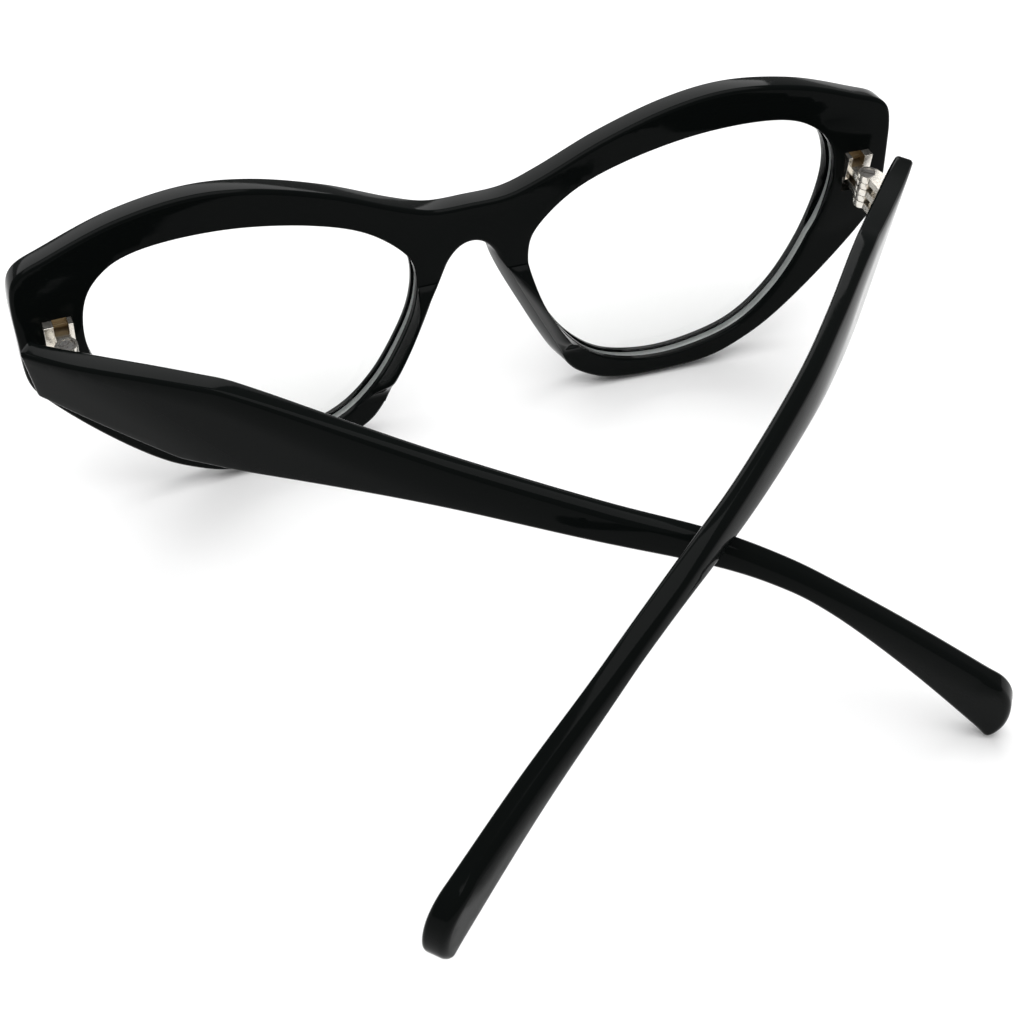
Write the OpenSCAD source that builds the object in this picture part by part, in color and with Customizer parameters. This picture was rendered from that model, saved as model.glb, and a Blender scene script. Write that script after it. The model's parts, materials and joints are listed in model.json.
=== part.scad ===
// Cat-eye eyeglasses: acetate front, two lenses, barrel hinges, two folding temples.
// Millimetres.  X runs to the wearer's left, Y back along the open temples, Z up.
// The glasses stand on the lower rims and one temple tip, half folded, temples crossed.

/* [Front] */

// Overall width of the front
front_w = 140; // [130:1:150]
// Thickness of the acetate front
front_t = 4.2; // [3.5:0.1:5]
// Radius of the front's face wrap
wrap_r = 650; // [300:10:1000]
// Forward lean of the front against the hinge axes, degrees
lean = 10; // [4:0.5:14]
// Extra thickness behind the end pieces
lug_t = 0.8; // [0:0.1:1.5]
// How far the built-up nose pads stand behind the rims
pad_t = 4.3; // [2.5:0.1:5]

/* [Lenses] */

// Lens thickness
lens_t = 1.8; // [1.2:0.1:2.4]
// Depth of the lens groove in the rims
groove_d = 0.6; // [0.4:0.05:0.8]

/* [Temples] */

// Left temple, angle folded in from fully open
fold_l = 52.4; // [0:0.1:90]
// Right temple, angle folded in from fully open
fold_r = 46.5; // [0:0.1:80]
// Left temple droops by this angle at the hinge
droop = 1.8; // [0:0.1:2.4]
// Right temple rises by this angle at the hinge
rise = 2.3; // [0:0.1:2.4]
// Temple thickness
temple_t = 3.6; // [3:0.1:4.5]
// Core wire diameter across its flats
wire_w = 1.2; // [0.8:0.1:1.4]

/* [Hinges] */

// Sideways distance of each hinge pin from the middle
pin_x = 63.8; // [60:0.1:68]
// Distance of the hinge pin behind the front's rear face at the middle
pin_y = 8.65; // [7:0.01:10]
// Outer radius of the hinge knuckles
knuckle_r = 1.5; // [1.2:0.05:1.8]
// Height of one knuckle
knuckle_h = 1.15; // [0.9:0.05:1.4]
// Gap between knuckles
knuckle_gap = 0.07; // [0.05:0.01:0.15]
// Radius of the hinge screw's shank
screw_r = 0.6; // [0.5:0.05:0.8]
// Running clearance round the shank
run_fit = 0.05; // [0.02:0.01:0.1]

/* [Hidden] */

steps = 4;
sx = front_w / 140;
// hinge pin top, in the frame of the hinges
pin_yw = pin_y * cos(lean);
pin_zw = pin_y * sin(lean);
// lowest point of the rims and middle of the depth, for the origin
floor_z = 35.5;
mid_y = 48.99;
barrel_top = -0.3;
barrel_h = 5 * knuckle_h + 4 * knuckle_gap;
leaf_n = 3.1;
lug_y = 65.5 * 65.5 / (2 * wrap_r) + lug_t;
pad_base = -0.4;
leaf_t = 0.8;

// ---- curves -----------------------------------------------------------------

// point at t on the smooth span between b and c
function span(a, b, c, d, t) =
    0.5 * (2 * b + (c - a) * t + (2 * a - 5 * b + 4 * c - d) * t * t
        + (3 * b - a - 3 * c + d) * t * t * t);

// smooth closed curve through points P
function ring(P) = let (n = len(P))
    [for (i = [0 : n - 1]) for (k = [0 : steps - 1])
        span(P[(i + n - 1) % n], P[i], P[(i + 1) % n], P[(i + 2) % n], k / steps)];

// smooth open curve through points P
function path(P) = let (n = len(P))
    concat([for (i = [0 : n - 2]) for (k = [0 : steps - 1])
        span(P[max(i - 1, 0)], P[i], P[i + 1], P[min(i + 2, n - 1)], k / steps)], [P[n - 1]]);

// closed curve P moved outwards by d (points run clockwise)
function grow(P, d) = let (n = len(P))
    [for (i = [0 : n - 1]) let (a = P[(i + n - 1) % n], b = P[(i + 1) % n],
        v = b - a, l = norm(v)) P[i] + d * [-v[1], v[0]] / l];

// half of the front, from the top of the bridge round to the nose arch
half_front = [
    [0, 3.3], [6, 3.5], [12, 5.5], [22, 9.9], [33, 13.4], [43, 14.7], [54, 13.5],
    [64, 10.5], [68.6, 8.6], [70, 5.2], [70, -2], [69.6, -8.8], [67, -13.3],
    [60.6, -20.9], [53.6, -27.8], [48, -31.8], [41.5, -34.6], [33, -35.4],
    [25, -35], [19.6, -33.1], [15, -29.4], [11.5, -24.2], [8.7, -18.9],
    [5.9, -13.2], [4.2, -8.8], [3.2, -5.6], [1.9, -3.8], [0, -3.2]];

// lens opening, clockwise from the nose
opening = [
    [9.3, -7.2], [10.9, -2.9], [16.8, 2.1], [25, 5.4], [36, 7.8], [46.5, 8.45],
    [54, 7.4], [58.9, 4.1], [60.6, -1.4], [59.8, -8.2], [56.9, -16.3],
    [52.3, -23.8], [46, -29.3], [37.8, -31.9], [30, -32.2], [22.6, -30.2],
    [17, -25.6], [12.8, -19.4], [10, -13.2]];

// footprint of a nose pad, before the splay and the lens opening trim its sides
pad_shape = [[4.8, -9.1], [12, -9.1], [12, -16], [22, -28.8], [14.6, -28.8]];

half_curve = path(half_front);
front_curve = concat(half_curve, [for (i = [len(half_curve) - 2 : -1 : 1])
    [-half_curve[i][0], half_curve[i][1]]]);

// temple seen from the side: top line, then the tip and the underside back
temple_side = concat(
    path([[-4.35, 1.6], [0, 2.1], [5, 3], [15, 5.2], [22, 6.6], [26, 7.35], [30, 7.55],
        [37, 7.7], [45, 7.75], [60, 7.5], [80, 6.2], [93, 5], [103, 1.9], [112, -3],
        [125, -12.1], [135, -19.1], [138.3, -21.4], [140.2, -24.2], [140.9, -27.6],
        [140.5, -30.6], [138.9, -32.3], [136.2, -29.7], [125, -18.7], [112, -6.7],
        [103, -1.5], [93, 0.8], [80, 1], [60, 0.3], [45, -2.3], [30, -6.2], [24.5, -7.5],
        [20.5, -8.5], [18.5, -8.6], [12, -8.25], [6, -7.75]]),
    [[-2.75, -6.85]]);

// temple seen from above: distance of its inner face outboard of the hinge pin
inner_line = path([[-6, 2.9], [0, 3], [15, 4.2], [30, 5.4], [45, 6.8], [60, 7.5],
    [80, 6.8], [95, 5.1], [110, 2], [125, -2.5], [142, -6.9]]);
temple_plan = concat(inner_line,
    [for (i = [len(inner_line) - 1 : -1 : 0]) inner_line[i] + [0, temple_t]]);

wire_mid = path([[9, -2.6], [15, -2.1], [30, 0.3], [45, 2.6], [60, 3.8], [80, 3.4],
    [93, 2.8], [103, 0.1], [112, -4.9], [125, -15.4], [130, -19.5]]);

// ---- placing ------------------------------------------------------------------

module stand() translate([0, -mid_y, floor_z]) children();

// from the front's own upright plane into the standing pose
module on_front() stand() rotate([lean, 0, 0]) children();

// from a hinge's own frame (X outboard, Y along the open temple) into place
module on_hinge(side, fold)
    stand() translate([side * pin_x, pin_yw, pin_zw])
    mirror([side < 0 ? 1 : 0, 0, 0]) rotate([0, 0, fold]) children();

module on_side(side) mirror([side < 0 ? 1 : 0, 0, 0]) children();

// curved sheet between depths a and b, following the face wrap
module sheet(a, b, h = 100)
    translate([0, wrap_r, -h / 2]) difference() {
        cylinder(h = h, r = wrap_r - a, $fn = 1440);
        translate([0, 0, -1]) cylinder(h = h + 2, r = wrap_r - b, $fn = 1440);
    }

// plane shape in X and Z pushed through in depth
module through(P, y0, y1)
    translate([0, y1, 0]) rotate([90, 0, 0]) linear_extrude(y1 - y0)
        scale([sx, 1]) polygon(P);

// ---- front ----------------------------------------------------------------------

// low swelling behind each end piece, where the hinge is let in
module lug(side) on_side(side) intersection() {
    through(front_curve, -front_t / 2, 12);
    translate([65.5, lug_y - 60, -3]) sphere(r = 60, $fn = 360);
}

// what the splay takes off the nose side of the arch and of each pad
module splay() translate([4.5, -4.2, -10.2]) rotate([0, -24.8, -22.3])
    translate([-3.4, -3, -30]) cube([3.4, 17, 35.6]);

module hinge_pocket(side)
    on_hinge(side, 0) translate([-1.75, -6.35, -6.5]) cube([4.3, 6.35, 6.8]);

module front_frame() color("black") difference() {
    on_front() difference() {
        union() {
            intersection() {
                through(front_curve, -10, 12);
                sheet(-front_t, 0);
            }
            for (side = [-1, 1]) lug(side);
        }
        for (side = [-1, 1]) on_side(side) {
            splay();
            through(pad_shape, pad_base, 8);
            through(ring(opening), -12, 14);
            intersection() {
                through(grow(ring(opening), groove_d), -12, 14);
                sheet(-front_t / 2 - 0.1 - lens_t / 2 - 0.05,
                    -front_t / 2 - 0.1 + lens_t / 2 + 0.05);
            }
        }
    }
    for (side = [-1, 1]) hinge_pocket(side);
}

module lens(side) color("white", 0.3) on_front() on_side(side) intersection() {
    through(grow(ring(opening), groove_d - 0.05), -12, 14);
    sheet(-front_t / 2 - 0.1 - lens_t / 2, -front_t / 2 - 0.1 + lens_t / 2);
}

module nose_pad(side) color("black") on_front() on_side(side) difference() {
    intersection() {
        through(pad_shape, pad_base, 8);
        translate([0, pad_t - 14, -19]) rotate([0, 90, 0]) cylinder(h = 40, r = 14, $fn = 360);
    }
    splay();
    through(ring(opening), -12, 14);
}

// ---- hinges -----------------------------------------------------------------------

function knuckle_z(i) = barrel_top - (i + 1) * knuckle_h - i * knuckle_gap;

module front_hinge(side) color("silver") on_hinge(side, 0) difference() {
    union() {
        translate([-1.7, -6.3, -6.45]) cube([4.2, 1.3, 6.7]);
        translate([1.1, -5.1, -6.45]) cube([1.4, 1.8, 6.7]);
        translate([-1.7, -5.1, -3.9]) cube([0.7, 1.8, 4.15]);
        translate([-1.1, -5.1, -0.95]) cube([2.3, 0.5, 0.4]);
        for (i = [1, 3]) translate([0, 0, knuckle_z(i)]) {
            cylinder(h = knuckle_h, r = knuckle_r, $fn = 64);
            translate([-1.1, -5.1, 0]) cube([2.2, 5.1, knuckle_h]);
        }
    }
    translate([0, 0, -8]) cylinder(h = 10, r = screw_r + 0.02, $fn = 64);
}

module temple_hinge(side, fold) color("silver") on_hinge(side, fold) difference() {
    union() {
        translate([leaf_n, -2.4, -6.4]) cube([leaf_t, 10.9, 6.05]);
        for (s = [2.6, 6]) translate([leaf_n + leaf_t - 0.1, s, -3.4])
            rotate([0, 90, 0]) cylinder(h = 1.3, r = 0.75, $fn = 48);
        for (i = [0, 2, 4]) translate([0, 0, knuckle_z(i)]) {
            cylinder(h = knuckle_h, r = knuckle_r, $fn = 64);
            linear_extrude(knuckle_h)
                polygon([[0, -1.5], [0.9, -1.5], [leaf_n + 0.1, -0.6],
                    [leaf_n + 0.1, 3.6], [0.6, 1.38], [0, 1.5]]);
        }
    }
    translate([0, 0, -8]) cylinder(h = 10, r = screw_r + run_fit, $fn = 64);
    translate([0, 0, barrel_top - 0.55]) cylinder(h = 2, r = 1.12, $fn = 64);
}

module hinge_screw(side) color("silver") on_hinge(side, 0) difference() {
    union() {
        translate([0, 0, barrel_top - barrel_h]) cylinder(h = barrel_h - 0.3, r = screw_r, $fn = 64);
        translate([0, 0, barrel_top - 0.5]) cylinder(h = 0.4, r = 1.05, $fn = 64);
    }
    rotate([0, 0, 35]) translate([-2, -0.18, barrel_top - 0.35]) cube([4, 0.36, 1]);
}

// ---- temples ------------------------------------------------------------------------

module core_line(w)
    intersection() {
        translate([-12, 0, 0]) rotate([90, 0, 90]) linear_extrude(30)
            polygon(concat([for (p = wire_mid) p + [0, w / 2]],
                [for (i = [len(wire_mid) - 1 : -1 : 0]) wire_mid[i] - [0, w / 2]]));
        translate([0, 0, -40]) linear_extrude(60) polygon([for (p = concat(
            [for (q = inner_line) q + [0, temple_t / 2 - w / 2]],
            [for (i = [len(inner_line) - 1 : -1 : 0])
                inner_line[i] + [0, temple_t / 2 + w / 2]])) [p[1], p[0]]]);
    }

module core_wire(side, fold, tilt) color("silver")
    on_hinge(side, fold) rotate([tilt, 0, 0]) core_line(wire_w);

module temple(side, fold, tilt) color("black") on_hinge(side, fold) difference() {
    rotate([tilt, 0, 0]) difference() {
        intersection() {
            translate([-12, 0, 0]) rotate([90, 0, 90]) linear_extrude(30)
                polygon(temple_side);
            translate([0, 0, -40]) linear_extrude(60)
                polygon([for (p = temple_plan) [p[1], p[0]]]);
        }
        // long flat facet on the outside of the broad front end
        translate([3 + temple_t, 1, 2.6]) rotate([0, 0, -4.2]) rotate([-23, 0, 0])
            rotate([0, 6, 0]) translate([0, -20, -20]) cube([8, 60, 20]);
        core_line(wire_w + 0.06);
    }
    translate([0, -2.45, -6.45]) cube([leaf_n + leaf_t + 0.03, 11, 6.15]);
    translate([0, -8, -6.45]) cube([leaf_n + 0.3, 9, 6.15]);
    for (s = [2.6, 6]) translate([leaf_n, s, -3.4])
        rotate([0, 90, 0]) cylinder(h = 2.03, r = 0.78, $fn = 48);
}

// ---- nodes ------------------------------------------------------------------------------

module lens_left() lens(1);
module lens_right() lens(-1);
module nose_pad_left() nose_pad(1);
module nose_pad_right() nose_pad(-1);
module front_hinge_left() front_hinge(1);
module front_hinge_right() front_hinge(-1);
module hinge_screw_left() hinge_screw(1);
module hinge_screw_right() hinge_screw(-1);
module temple_hinge_left() temple_hinge(1, fold_l);
module temple_hinge_right() temple_hinge(-1, fold_r);
module temple_left() temple(1, fold_l, -droop);
module temple_right() temple(-1, fold_r, rise);
module core_wire_left() core_wire(1, fold_l, -droop);
module core_wire_right() core_wire(-1, fold_r, rise);

front_frame();
lens_left();
lens_right();
nose_pad_left();
nose_pad_right();
front_hinge_left();
front_hinge_right();
hinge_screw_left();
hinge_screw_right();
temple_hinge_left();
temple_hinge_right();
temple_left();
temple_right();
core_wire_left();
core_wire_right();
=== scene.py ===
"""Looks of the cat-eye eyeglasses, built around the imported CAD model. Lengths are in millimetres until a
mesh is made, and the row frame is the CAD's: +X the wearer's left, +Y back along the temples, +Z up."""

import json
import math

import bmesh
import bpy
import numpy as np
from mathutils import Matrix, Vector, geometry


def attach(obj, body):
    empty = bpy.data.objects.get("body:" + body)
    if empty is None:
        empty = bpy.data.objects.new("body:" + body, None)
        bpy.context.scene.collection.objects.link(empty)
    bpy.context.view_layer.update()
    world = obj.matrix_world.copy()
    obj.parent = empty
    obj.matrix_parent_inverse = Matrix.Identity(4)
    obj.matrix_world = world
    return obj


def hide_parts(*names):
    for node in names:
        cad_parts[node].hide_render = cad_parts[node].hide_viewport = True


MM = 0.001
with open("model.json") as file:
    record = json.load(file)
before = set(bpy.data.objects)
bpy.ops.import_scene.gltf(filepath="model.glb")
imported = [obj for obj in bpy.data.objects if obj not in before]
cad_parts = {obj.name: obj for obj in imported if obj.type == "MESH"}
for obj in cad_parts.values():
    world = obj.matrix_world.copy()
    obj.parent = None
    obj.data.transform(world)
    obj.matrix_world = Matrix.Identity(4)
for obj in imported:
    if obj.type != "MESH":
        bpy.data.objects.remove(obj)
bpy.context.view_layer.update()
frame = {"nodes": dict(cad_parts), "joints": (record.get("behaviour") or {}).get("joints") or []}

# ---- driving sizes, the CAD model's own ------------------------------------------

LEAN = 10
FRONT_T = 4.2
WRAP_R = 650
LENS_T = 1.8
GROOVE = 0.6
PAD_T = 4.3
LUG_T = 0.8
LUG_X = 65.5
LUG_R = 60
LUG_Z = -3
TEMPLE_T = 3.6
PIN_BACK = 8.65
FOLD = {1: 52.4, -1: 46.5}
TILT = {1: -1.8, -1: 2.3}
SIDE_NAME = {1: "left", -1: "right"}
PINS = {
    1 if j["pos_m"][0] > 0 else -1: Vector(j["pos_m"]) / MM for j in frame["joints"]
}
TURN = Matrix.Rotation(math.radians(LEAN), 4, "X")
PLANE = Matrix.Translation(
    (PINS[1] - TURN @ Vector((0, PIN_BACK, 0))) * Vector((0, 1, 1))
) @ TURN

# The arch wall and the pads' nose side share one slanted plane. At the front face and SPLAY_Z it is SPLAY_X
# from the middle; it goes outwards by SPLAY_DOWN per mm down and by SPLAY per mm back.
SPLAY_X = 4.5
SPLAY_Z = -10.2
SPLAY_DOWN = 0.5
SPLAY = 0.41
SPLAY_RUN = 0.894

PAD_TOP = -9.1
PAD_END = -28.8
PAD_MID = -19
PAD_R = 14
PAD_FADE = 5.5
LENS_BACK = -1.2

HALF_FRONT = [
    (0, 3.3), (6, 3.5), (12, 5.5), (22, 9.9), (33, 13.4), (43, 14.7), (54, 13.5),
    (64, 10.5), (68.6, 8.6), (70, 5.2), (70, -2), (69.6, -8.8), (67, -13.3),
    (60.6, -20.9), (53.6, -27.8), (48, -31.8), (41.5, -34.6), (33, -35.4),
    (25, -35), (19.6, -33.1), (15, -29.4), (11.5, -24.2), (8.7, -18.9),
    (5.9, -13.2), (4.2, -8.8), (3.2, -5.6), (1.9, -3.8), (0, -3.2),
]
OPENING = [
    (9.3, -7.2), (10.9, -2.9), (16.8, 2.1), (25, 5.4), (36, 7.8), (46.5, 8.45),
    (54, 7.4), (58.9, 4.1), (60.6, -1.4), (59.8, -8.2), (56.9, -16.3),
    (52.3, -23.8), (46, -29.3), (37.8, -31.9), (30, -32.2), (22.6, -30.2),
    (17, -25.6), (12.8, -19.4), (10, -13.2),
]
TEMPLE_SIDE = [
    (-4.35, 1.6), (0, 2.1), (5, 3), (15, 5.2), (22, 6.6), (26, 7.35), (30, 7.55), (37, 7.7),
    (45, 7.75), (60, 7.5), (80, 6.2), (93, 5), (103, 1.9), (112, -3), (125, -12.1),
    (135, -19.1), (138.3, -21.4), (140.2, -24.2), (140.9, -27.6), (140.5, -30.6),
    (138.9, -32.3), (136.2, -29.7), (125, -18.7), (112, -6.7), (103, -1.5), (93, 0.8),
    (80, 1), (60, 0.3), (45, -2.3), (30, -6.2), (24.5, -7.5), (20.5, -8.5), (18.5, -8.6),
    (12, -8.25), (6, -7.75), (-2.75, -6.85),
]
TOP_POINTS = 16
TEMPLE_INNER = [
    (-6, 2.9), (0, 3), (15, 4.2), (30, 5.4), (45, 6.8), (60, 7.5), (80, 6.8), (95, 5.1),
    (110, 2), (125, -2.5), (142, -6.9),
]


# ---- curves ------------------------------------------------------------------------


def smooth_path(points, steps=12):
    """Catmull-Rom curve through an open row of points."""
    p = np.array(points, float)
    p = np.vstack([p[0], p, p[-1]])
    made = []
    for a, b, c, d in zip(p, p[1:], p[2:], p[3:]):
        for t in np.arange(steps) / steps:
            made.append(
                0.5 * (2 * b + (c - a) * t + (2 * a - 5 * b + 4 * c - d) * t**2
                       + (3 * b - a - 3 * c + d) * t**3)
            )
    return np.array(made + [p[-1]])


def smooth_ring(points, steps=12):
    """Catmull-Rom curve through a closed ring of points."""
    n = len(points)
    wrapped = [points[(i - 2) % n] for i in range(n + 4)]
    return smooth_path(wrapped, steps)[2 * steps : (n + 2) * steps]


def spaced(points, count, closed=False):
    """The same curve with count points evenly spaced along it."""
    p = np.vstack([points, points[:1]]) if closed else np.array(points)
    run = np.r_[0, np.cumsum(np.linalg.norm(np.diff(p, axis=0), axis=1))]
    at = np.linspace(0, run[-1], count + 1 if closed else count)
    made = np.column_stack([np.interp(at, run, p[:, k]) for k in range(p.shape[1])])
    return made[:-1] if closed else made


def eased(points, rounds):
    """A closed ring relaxed a little, so that its highlights run without a wobble."""
    p = np.array(points)
    for _ in range(rounds):
        p = p + 0.5 * ((np.roll(p, 1, 0) + np.roll(p, -1, 0)) / 2 - p)
        p = p - 0.52 * ((np.roll(p, 1, 0) + np.roll(p, -1, 0)) / 2 - p)
    return p


def inward(ring):
    """Unit normals of a closed ring that point into the area it encloses."""
    along = np.roll(ring, -1, 0) - np.roll(ring, 1, 0)
    along = along / np.linalg.norm(along, axis=1)[:, None]
    x, z = ring[:, 0], ring[:, 1]
    area = np.sum(x * np.roll(z, -1) - np.roll(x, -1) * z)
    sign = 1 if area > 0 else -1
    return sign * np.column_stack([-along[:, 1], along[:, 0]])


def inside(points, ring):
    """Which points lie inside a closed ring."""
    x, z = points[:, 0][:, None], points[:, 1][:, None]
    a, b = ring, np.roll(ring, -1, 0)
    crosses = (a[:, 1] > z) != (b[:, 1] > z)
    gap = np.where(b[:, 1] == a[:, 1], 1e-12, b[:, 1] - a[:, 1])
    where = a[:, 0] + (z - a[:, 1]) / gap * (b[:, 0] - a[:, 0])
    return np.sum(crosses & (x < where), axis=1) % 2 == 1


def near(points, ring):
    """Distance from each point to the closest point of a ring."""
    return np.array([np.min(np.linalg.norm(ring - p, axis=1)) for p in points])


def step(t):
    """Smooth ramp from 0 to 1."""
    t = np.clip(t, 0, 1)
    return t * t * (3 - 2 * t)


def soft_max(a, b, k):
    """The larger of a and b, blended over a width of about k."""
    return -soft_min(-a, -b, k)


def soft_min(a, b, k):
    """The smaller of a and b, blended over a width of about k."""
    h = np.clip(0.5 + 0.5 * (b - a) / k, 0, 1)
    return b + (a - b) * h - k * h * (1 - h)


# ---- meshes ------------------------------------------------------------------------


def piece(name, verts, faces, body, finish, replaces=(), place=None, sharp=40):
    """A mesh from points in millimetres, in the row frame or moved there by place."""
    mesh = bpy.data.meshes.new(name)
    mesh.from_pydata([tuple(v) for v in verts], [], [tuple(f) for f in faces])
    mesh.transform(Matrix.Scale(MM, 4) @ (place or Matrix.Identity(4)))
    if (place or Matrix.Identity(4)).determinant() < 0:
        mesh.flip_normals()
    made = bpy.data.objects.new(name, mesh)
    bpy.context.scene.collection.objects.link(made)
    mesh.materials.append(finish)
    shade(mesh, sharp)
    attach(made, body)
    if replaces:
        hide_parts(*replaces)
    return made


def shade(mesh, sharp=40):
    mesh.shade_smooth()
    mesh.set_sharp_from_angle(angle=math.radians(sharp))


def weld(mesh, gap=1e-6):
    """Merges doubles and makes the normals point outwards."""
    b = bmesh.new()
    b.from_mesh(mesh)
    bmesh.ops.remove_doubles(b, verts=b.verts, dist=gap)
    bmesh.ops.recalc_face_normals(b, faces=b.faces)
    b.to_mesh(mesh)
    b.free()


def plate(rings, low, high, pitch=1.3):
    """Plate with rounded edges. rings is a list of (ring, profile), the first one its outline and the
    others its holes. A profile is rows of (inset, share, drop): inset from the ring, share of the way from
    the low to the high face, and drop in millimetres added to that depth. low and high give each face's
    depth."""
    verts, faces = [], []
    rims = {"low": [], "high": []}
    for number, (ring, profile) in enumerate(rings):
        normal = inward(ring) * (1 if number == 0 else -1)
        rows = []
        for inset, share, drop in profile:
            p = ring + normal * np.asarray(inset).reshape(-1, 1)
            lo, hi = low(p), high(p)
            depth = lo + (hi - lo) * share + np.asarray(drop)
            rows.append(range(len(verts), len(verts) + len(p)))
            verts += [(a, d, b) for (a, b), d in zip(p, depth)]
        for r0, r1 in zip(rows, rows[1:]):
            for i in range(len(r0)):
                j = (i + 1) % len(r0)
                faces.append((r0[i], r0[j], r1[j], r1[i]))
        rims["low"].append(rows[0])
        rims["high"].append(rows[-1])
    for rim, surface in (("low", low), ("high", high)):
        loops = [np.array([(verts[i][0], verts[i][2]) for i in row]) for row in rims[rim]]
        names = [i for row in rims[rim] for i in row]
        lo, hi = loops[0].min(0), loops[0].max(0)
        xs, zs = np.arange(lo[0], hi[0], pitch), np.arange(lo[1], hi[1], pitch * 0.866)
        grid = np.array([(x + (k % 2) * pitch / 2, z) for k, z in enumerate(zs) for x in xs])
        keep = inside(grid, loops[0])
        for hole in loops[1:]:
            keep &= ~inside(grid, hole)
        grid = grid[keep]
        grid = grid[near(grid, np.vstack(loops)) > 0.45 * pitch]
        flat = np.vstack([*loops, grid])
        edges, start = [], 0
        for loop in loops:
            edges += [(start + i, start + (i + 1) % len(loop)) for i in range(len(loop))]
            start += len(loop)
        done = geometry.delaunay_2d_cdt(
            [Vector(p) for p in flat], edges, [], 0, 1e-7, True
        )
        spots = np.array([tuple(p) for p in done[0]])
        ids = []
        for spot, origin in zip(spots, done[3]):
            known = [o for o in origin if o < len(names)]
            if known:
                ids.append(names[known[0]])
            else:
                ids.append(len(verts))
                verts.append((spot[0], surface(spot[None])[0], spot[1]))
        middles = np.array([spots[list(t)].mean(0) for t in done[2]])
        keep = inside(middles, loops[0])
        for hole in loops[1:]:
            keep &= ~inside(middles, hole)
        faces += [tuple(ids[i] for i in t) for t, ok in zip(done[2], keep) if ok]
    return verts, faces


def edge_profile(low_r, high_r, steps=5):
    """Rows of a plate's edge: rounded by low_r at the low face and by high_r at the high face."""
    turn = np.linspace(0, math.pi / 2, steps + 1)
    rows = [(low_r * (1 - math.sin(t)), 0, low_r * (1 - math.cos(t))) for t in turn]
    return rows + [(high_r * (1 - math.cos(t)), 1, -high_r * (1 - math.sin(t))) for t in turn]


def cut(target, box_low, box_high, place):
    """Cuts a box, given in millimetres in the frame of place, out of a piece."""
    lo, hi = Vector(box_low), Vector(box_high)
    b = bmesh.new()
    bmesh.ops.create_cube(b, size=1)
    for v in b.verts:
        v.co = (lo + hi) / 2 + v.co * (hi - lo)
    mesh = bpy.data.meshes.new("cutter")
    b.to_mesh(mesh)
    b.free()
    mesh.transform(Matrix.Scale(MM, 4) @ place)
    if place.determinant() < 0:
        mesh.flip_normals()
    cutter = bpy.data.objects.new("cutter", mesh)
    bpy.context.scene.collection.objects.link(cutter)
    change = target.modifiers.new("cut", "BOOLEAN")
    change.operation = "DIFFERENCE"
    change.solver = "EXACT"
    change.object = cutter
    apply_modifiers(target)
    bpy.data.objects.remove(cutter)
    bpy.data.meshes.remove(mesh)


def apply_modifiers(obj):
    bpy.context.view_layer.update()
    depsgraph = bpy.context.evaluated_depsgraph_get()
    mesh = bpy.data.meshes.new_from_object(obj.evaluated_get(depsgraph))
    obj.modifiers.clear()
    obj.data = mesh


def hinge_place(side, fold=0.0, tilt=0.0):
    """From a hinge's own frame (X outboard, Y along the open temple, 0 at the screw's top) to the row
    frame."""
    flip = Matrix.Scale(-1, 4, (1, 0, 0)) if side < 0 else Matrix.Identity(4)
    return (
        Matrix.Translation(PINS[side])
        @ flip
        @ Matrix.Rotation(math.radians(fold), 4, "Z")
        @ Matrix.Rotation(math.radians(tilt), 4, "X")
    )


# ---- materials ---------------------------------------------------------------------


def material(name):
    made = bpy.data.materials.new(name)
    made.use_nodes = True
    return made, made.node_tree, made.node_tree.nodes["Principled BSDF"]


def noise(tree, scale, detail=3, roughness=0.5):
    """Noise over the object's own space, with scale in waves per metre."""
    where = tree.nodes.new("ShaderNodeTexCoord")
    made = tree.nodes.new("ShaderNodeTexNoise")
    made.inputs["Scale"].default_value = scale
    made.inputs["Detail"].default_value = detail
    made.inputs["Roughness"].default_value = roughness
    tree.links.new(where.outputs["Object"], made.inputs["Vector"])
    return made


def ramp(tree, source, low, high, start=0.35, end=0.65):
    """source's value spread between two values, or between two colours."""
    made = tree.nodes.new("ShaderNodeMapRange")
    made.inputs["From Min"].default_value = start
    made.inputs["From Max"].default_value = end
    made.inputs["To Min"].default_value = low
    made.inputs["To Max"].default_value = high
    tree.links.new(source, made.inputs["Value"])
    return made.outputs["Result"]


def bump(tree, shader, height, distance, strength=1.0):
    made = tree.nodes.new("ShaderNodeBump")
    made.inputs["Strength"].default_value = strength
    made.inputs["Distance"].default_value = distance
    tree.links.new(height, made.inputs["Height"])
    tree.links.new(made.outputs["Normal"], shader.inputs["Normal"])


def polished_acetate():
    """Black cellulose acetate, tumbled to a deep gloss, with the faint waviness of hand polishing."""
    made, tree, shader = material("polished_acetate")
    shader.inputs["Base Color"].default_value = (0.003, 0.0038, 0.0036, 1)
    shader.inputs["IOR"].default_value = 1.49
    shader.inputs["Specular IOR Level"].default_value = 0.04
    haze = noise(tree, 900, 4, 0.6)
    tree.links.new(ramp(tree, haze.outputs[0], 0.05, 0.11), shader.inputs["Roughness"])
    wave = noise(tree, 120, 1)
    bump(tree, shader, wave.outputs[0], 0.00002, 0.35)
    return made


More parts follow.
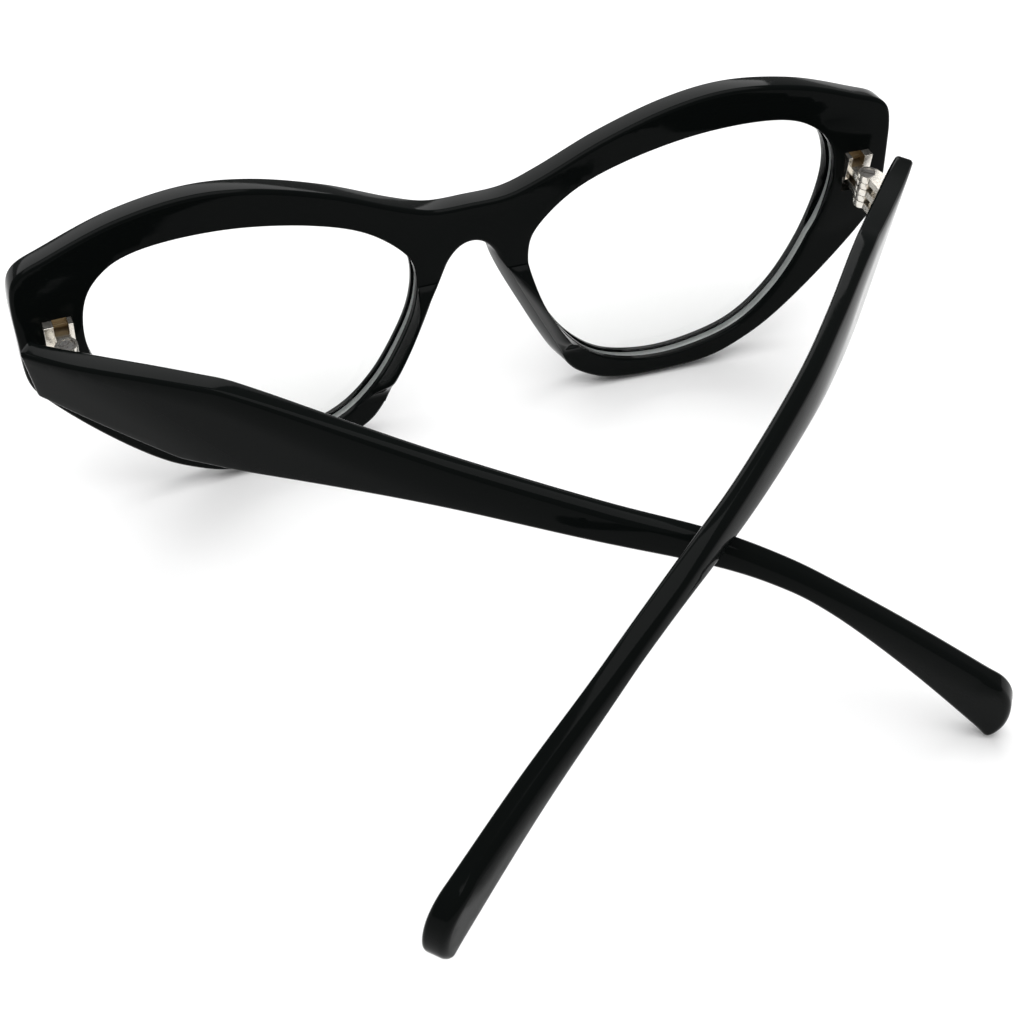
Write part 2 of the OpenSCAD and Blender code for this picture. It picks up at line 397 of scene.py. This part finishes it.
def clear_lens():
    """Thin clear lens: what is behind it shows unbent, with a mirror image of the studio over it."""
    made, tree, shader = material("clear_lens")
    clear = tree.nodes.new("ShaderNodeBsdfTransparent")
    clear.inputs["Color"].default_value = (0.99, 0.993, 0.99, 1)
    gloss = tree.nodes.new("ShaderNodeBsdfGlossy")
    smear = noise(tree, 60, 2)
    tree.links.new(ramp(tree, smear.outputs[0], 0.0, 0.05), gloss.inputs["Roughness"])
    fresnel = tree.nodes.new("ShaderNodeFresnel")
    fresnel.inputs["IOR"].default_value = 1.3
    mix = tree.nodes.new("ShaderNodeMixShader")
    tree.links.new(fresnel.outputs[0], mix.inputs[0])
    tree.links.new(clear.outputs[0], mix.inputs[1])
    tree.links.new(gloss.outputs[0], mix.inputs[2])
    tree.links.new(mix.outputs[0], tree.nodes["Material Output"].inputs["Surface"])
    return made


def ground_edge():
    """The lens's own ground and buffed edge, which shows as a pale line inside the rim."""
    made, tree, shader = material("lens_edge")
    shader.inputs["Base Color"].default_value = (0.62, 0.65, 0.64, 1)
    fine = noise(tree, 4000, 2)
    tree.links.new(ramp(tree, fine.outputs[0], 0.18, 0.4), shader.inputs["Roughness"])
    return made


def nickel_silver(name, colour, rough):
    """Hinge metal with fine brushing and slight tarnish."""
    made, tree, shader = material(name)
    shader.inputs["Metallic"].default_value = 1
    tarnish = noise(tree, 160, 2)
    mix = tree.nodes.new("ShaderNodeMix")
    mix.data_type = "RGBA"
    mix.inputs["A"].default_value = (*colour, 1)
    mix.inputs["B"].default_value = (*[c * f for c, f in zip(colour, (0.86, 0.8, 0.72))], 1)
    tree.links.new(ramp(tree, tarnish.outputs[0], 0, 0.35), mix.inputs["Factor"])
    tree.links.new(mix.outputs["Result"], shader.inputs["Base Color"])
    grain = noise(tree, 2500, 2)
    tree.links.new(ramp(tree, grain.outputs[0], rough - 0.03, rough + 0.04), shader.inputs["Roughness"])
    bump(tree, shader, grain.outputs[0], 0.000004, 0.15)
    return made


ACETATE = polished_acetate()
LENS = clear_lens()
LENS_EDGE = ground_edge()
HINGE = nickel_silver("nickel_silver", (0.86, 0.83, 0.77), 0.22)
SCREW = nickel_silver("screw_steel", (0.42, 0.41, 0.4), 0.3)
# darkened brass for the hinge recess: brass tint, with painted shade of the recess in its darkness
BRASS_WITH_RECESS_SHADE = nickel_silver("brass_with_painted_recess_shade", (0.36, 0.29, 0.19), 0.34)
WIRE = nickel_silver("core_wire", (0.6, 0.57, 0.52), 0.35)


# ---- front ---------------------------------------------------------------------------


def back_face(p):
    """Depth of the front's rear face: the face wrap, and the low swelling behind each end piece."""
    x, z = np.abs(p[:, 0]), p[:, 1]
    wrap = x**2 / (2 * WRAP_R)
    top = LUG_X**2 / (2 * WRAP_R) + LUG_T
    swell = top - LUG_R + np.sqrt(
        np.maximum(0, LUG_R**2 - (x - LUG_X) ** 2 - (z - LUG_Z) ** 2)
    )
    return soft_max(wrap, swell, 0.12)


def front_face(p):
    return p[:, 0] ** 2 / (2 * WRAP_R) - FRONT_T


def whole_outline():
    half = smooth_path(HALF_FRONT)
    ring = np.vstack([half, (half * (-1, 1))[-2:0:-1]])
    return eased(spaced(ring, 720, True), 12)


def opening_ring(grow=0.0, count=300):
    ring = eased(spaced(smooth_ring(OPENING), count, True), 12)
    return ring - inward(ring) * grow


def splay_edge(z, depth):
    """Distance of the slanted nose-side plane from the middle, at a height and a depth of the front."""
    return SPLAY_X + SPLAY_DOWN * (SPLAY_Z - z) + SPLAY * (depth + FRONT_T)


def splay_offset(p, depth):
    """How far the arch wall is set back from the front outline at a depth, to follow the slanted plane."""
    x, z = np.abs(p[:, 0]), p[:, 1]
    wanted = splay_edge(z, depth)
    there = step((-3.6 - z) / 3) * (x < 20)
    return soft_max((wanted - x) * SPLAY_RUN, 0, 0.8) * there


def front():
    outline = whole_outline()
    x, z = np.abs(outline[:, 0]), outline[:, 1]
    beside_pad = step((z + 31) / 3) * step((-7 - z) / 3) * (x < 21)
    back_r = 0.7 - 0.67 * beside_pad
    rim = []
    for inset, share, drop in edge_profile(0.6, 1, 6):
        if share:
            inset, drop = inset * back_r, drop * back_r
        depth = (front_face(outline) + drop) if not share else (back_face(outline) + drop)
        rim.append((inset + splay_offset(outline, depth), share, drop))
    groove_front = LENS_BACK - LENS_T - 0.1
    hole = edge_profile(0.55, 0.35)
    hole[6:6] = [
        (0, 1, groove_front),
        (GROOVE, 1, groove_front + 0.05),
        (GROOVE, 1, LENS_BACK - 0.05),
        (0, 1, LENS_BACK),
    ]
    rings = [(outline, rim)]
    for side in (1, -1):
        ring = opening_ring() * (side, 1)
        rings.append((ring if side > 0 else ring[::-1], hole))
    verts, faces = plate(rings, front_face, back_face)
    made = piece(
        "black_front", verts, faces, "front", ACETATE, ["front_frame"], PLANE
    )
    weld(made.data)
    for side in (1, -1):
        cut(made, (-1.75, -6.35, -6.5), (2.55, 0.5, 0.3), hinge_place(side))
    shade(made.data)


def lens(side):
    ring = opening_ring(GROOVE - 0.05) * (side, 1)
    mid = FRONT_T / 2 + 0.1

    def low(p):
        return p[:, 0] ** 2 / (2 * WRAP_R) - mid - LENS_T / 2

    def high(p):
        return low(p) + LENS_T

    verts, faces = plate([(ring, edge_profile(0.15, 0.15, 2))], low, high, 2.5)
    name = "lens_" + SIDE_NAME[side]
    made = piece("clear_" + name, verts, faces, "front", LENS, [name], PLANE)
    weld(made.data)
    made.data.materials.append(LENS_EDGE)
    normal = PLANE.to_3x3() @ Vector((0, 1, 0))
    for face in made.data.polygons:
        face.material_index = int(abs(face.normal.dot(normal)) < 0.6)
    shade(made.data)


def nose_pad(side):
    """Built-up pad: its nose side goes on with the splay of the arch up to a crest beside the lens."""
    rows, across = 61, 25
    lens_edge = spaced(opening_ring(0, 600)[pad_stretch()], rows)
    verts = []
    for edge_x, z in lens_edge:
        back = edge_x**2 / (2 * WRAP_R)
        cap = PAD_T - PAD_R + math.sqrt(max(0, PAD_R**2 - (z - PAD_MID) ** 2))
        cap = back + max(cap - back, 0.02) * step((z - PAD_END) / PAD_FADE)
        foot = splay_edge(z, back)
        for k in range(across):
            v = k / (across - 1)
            x = foot + (edge_x - 0.12 - foot) * v
            slope = back + (x - foot) / SPLAY
            depth = soft_min(slope, cap, 2.4 * min(1, (cap - back) / 2))
            depth = depth - 0.3 * max(0, (v - 0.93) / 0.07) ** 2 * min(1, cap - back)
            verts.append((x, max(depth, back - 0.02), z))
    top = len(verts)
    verts += [(x, -0.4, z) for x, y, z in verts]
    faces = []
    for i in range(rows - 1):
        for k in range(across - 1):
            a = i * across + k
            quad = (a, a + 1, a + across + 1, a + across)
            faces += [quad, tuple(q + top for q in quad[::-1])]
    border = list(range(across))
    border += [i * across + across - 1 for i in range(1, rows)]
    border += [(rows - 1) * across + k for k in range(across - 2, -1, -1)]
    border += [i * across for i in range(rows - 2, 0, -1)]
    for a, b in zip(border, border[1:] + border[:1]):
        faces.append((b, a, a + top, b + top))
    name = "nose_pad_" + SIDE_NAME[side]
    flip = Matrix.Scale(-1, 4, (1, 0, 0)) if side < 0 else Matrix.Identity(4)
    made = piece("black_" + name, verts, faces, "front", ACETATE, [name], PLANE @ flip)
    weld(made.data)
    shade(made.data, 40)


def pad_stretch():
    """Which points of the lens opening run beside the nose pad, from its top end down."""
    ring = opening_ring(0, 600)
    x, z = ring[:, 0], ring[:, 1]
    found = np.where((x < 24) & (z < PAD_TOP) & (z > PAD_END))[0]
    return found[np.argsort(-z[found])]


# ---- temples ---------------------------------------------------------------------------


def temple_ring():
    """Side view of a temple, with small round corners at its square front end."""
    curve = smooth_path(TEMPLE_SIDE[:-1])
    ring = spaced(np.vstack([curve, [TEMPLE_SIDE[-1]]]), 620, True)
    return eased(ring, 3)


INNER_LINE = smooth_path(TEMPLE_INNER)
TOP_LINE = smooth_path(TEMPLE_SIDE[:TOP_POINTS])


def inner_face(p):
    return np.interp(p[:, 0], INNER_LINE[:, 0], INNER_LINE[:, 1])


def outer_face(p):
    """The outside of a temple: slightly crowned, with a long soft facet on its broad front end."""
    s, z = p[:, 0], p[:, 1]
    flat = inner_face(p) + TEMPLE_T
    lean = (
        Matrix.Rotation(math.radians(-4.2), 3, "Z")
        @ Matrix.Rotation(math.radians(-23), 3, "X")
        @ Matrix.Rotation(math.radians(6), 3, "Y")
    )
    normal = lean @ Vector((1, 0, 0))
    facet = 3 + TEMPLE_T - (normal.y * (s - 1) + normal.z * (z - 2.6)) / normal.x
    below_top = np.interp(s, TOP_LINE[:, 0], TOP_LINE[:, 1]) - z
    width = 1.5 + 4.5 * step((s - 4) / 50) - 2.5 * step((s - 75) / 30)
    crown = 0.2 * width * np.clip(1 - below_top / width, 0, 1) ** 2
    return soft_min(flat - crown, facet, 0.35)


def temple(side):
    name = SIDE_NAME[side]
    ring = temple_ring()
    soft = 0.45 * step((ring[:, 0] - 15) / 60) + 0.2 * step((6 - ring[:, 0]) / 9)
    radius = {0: 0.45 + soft, 1: 0.5 + soft}
    profile = [(inset * radius[share], share, drop * radius[share])
               for inset, share, drop in edge_profile(1, 1, 6)]
    verts, faces = plate([(ring, profile)], inner_face, outer_face, 1.1)
    verts = [(n, s, z) for s, n, z in verts]
    made = piece(
        "black_temple_" + name, verts, faces, name + "_temple", ACETATE,
        ["temple_" + name], hinge_place(side, FOLD[side], TILT[side]),
    )
    weld(made.data)
    straight = hinge_place(side, FOLD[side])
    cut(made, (-1, -2.45, -6.45), (3.93, 8.55, -0.3), straight)
    cut(made, (-1, -8, -6.45), (3.4, 1, -0.3), straight)
    shade(made.data)


# ---- hinges, screws, wires ---------------------------------------------------------------


def dress(node, finish, slot, bevel=0.0):
    """Gives a CAD node its finish and breaks its sharp edges."""
    obj = frame["nodes"][node]
    obj.data.materials.clear()
    obj.data.materials.append(finish)
    if bevel:
        join = obj.modifiers.new("weld", "WELD")
        join.merge_threshold = 1e-6
        edge = obj.modifiers.new("bevel", "BEVEL")
        edge.width = bevel * MM
        edge.segments = 2
        edge.limit_method = "ANGLE"
        edge.angle_limit = math.radians(35)
        edge.harden_normals = True


def shade_recess_in_brass(side):
    """Gives the bracket's recess a darkened brass. The brass tint is the bare metal behind the plating of
    the cheeks, and its darkness is painted shade of the recess.
    """
    mesh = frame["nodes"]["front_hinge_" + SIDE_NAME[side]].data
    mesh.materials.append(BRASS_WITH_RECESS_SHADE)
    to_hinge = hinge_place(side).inverted()
    for face in mesh.polygons:
        spot = to_hinge @ (face.center / MM)
        if -1.05 < spot.x < 1.15 and -5.2 < spot.y < -3.4 and -4 < spot.z < 0.2:
            # the recess faces get the brass with painted shade
            face.material_index = 1


# ---- stage, camera, light ----------------------------------------------------------------


FLOOR_HALF = 3.0
VIEW_AZIMUTH = 159.24
VIEW_ELEVATION = 39.17
VIEW_ROLL = -0.84
VIEW_DISTANCE = 330.8
VIEW_TARGET = Vector((-5.83, 0, -58.46))
FOCAL_LENGTH = 67.36


def camera():
    """The view from behind and above, aimed in the front's own leaning plane."""
    az, el, roll = (math.radians(a) for a in (VIEW_AZIMUTH, VIEW_ELEVATION, VIEW_ROLL))
    back = Vector((math.sin(az) * math.cos(el), -math.cos(az) * math.cos(el), math.sin(el)))
    right = Vector((0, 0, 1)).cross(back).normalized()
    up = back.cross(right)
    right, up = (
        math.cos(roll) * right + math.sin(roll) * up,
        math.cos(roll) * up - math.sin(roll) * right,
    )
    place = PLANE @ (VIEW_TARGET + VIEW_DISTANCE * back)
    data = bpy.data.cameras.new("camera")
    data.lens = FOCAL_LENGTH
    data.sensor_width = 36
    data.clip_start = 0.01
    data.clip_end = 20
    cam = bpy.data.objects.new("camera", data)
    bpy.context.scene.collection.objects.link(cam)
    axes = PLANE.to_3x3() @ Matrix((right, up, back)).transposed()
    cam.matrix_world = Matrix.Translation(place * MM) @ axes.to_4x4()
    bpy.context.scene.camera = cam


def floor():
    r = FLOOR_HALF
    mesh = bpy.data.meshes.new("floor")
    mesh.from_pydata([(-r, -r, 0), (r, -r, 0), (r, r, 0), (-r, r, 0)], [], [(0, 1, 2, 3)])
    obj = bpy.data.objects.new("floor", mesh)
    bpy.context.scene.collection.objects.link(obj)
    made, tree, shader = material("pale_floor")
    shader.inputs["Base Color"].default_value = (0.93, 0.93, 0.93, 1)
    shader.inputs["Roughness"].default_value = 0.7
    shader.inputs["Specular IOR Level"].default_value = 0.2
    mesh.materials.append(made)


def softbox(name, place, aim, size, power):
    data = bpy.data.lights.new(name, "AREA")
    data.shape = "RECTANGLE"
    data.size, data.size_y = size
    data.energy = power
    obj = bpy.data.objects.new(name, data)
    bpy.context.scene.collection.objects.link(obj)
    obj.location = place
    obj.rotation_euler = (Vector(aim) - Vector(place)).to_track_quat("-Z", "Y").to_euler()


def studio():
    bpy.context.scene.view_settings.view_transform = "Standard"
    world = bpy.data.worlds.new("studio")
    bpy.context.scene.world = world
    world.use_nodes = True
    shade_node = world.node_tree.nodes["Background"]
    shade_node.inputs["Color"].default_value = (1, 1, 1, 1)
    shade_node.inputs["Strength"].default_value = 0.35
    softbox("overhead", (0, 0, 1.6), (0, 0, 0), (1.8, 1.8), 29)
    softbox("front_wall", (0, -1.5, 0.8), (0, 0, 0), (2.2, 0.9), 18)


front()
for side in (1, -1):
    lens(side)
    nose_pad(side)
    temple(side)
    dress("front_hinge_" + SIDE_NAME[side], HINGE, "hinge_metal", 0.08)
    shade_recess_in_brass(side)
    dress("temple_hinge_" + SIDE_NAME[side], HINGE, "hinge_metal", 0.08)
    dress("hinge_screw_" + SIDE_NAME[side], SCREW, "screw_steel", 0.05)
    dress("core_wire_" + SIDE_NAME[side], WIRE, "wire_metal")
camera()
floor()
studio()
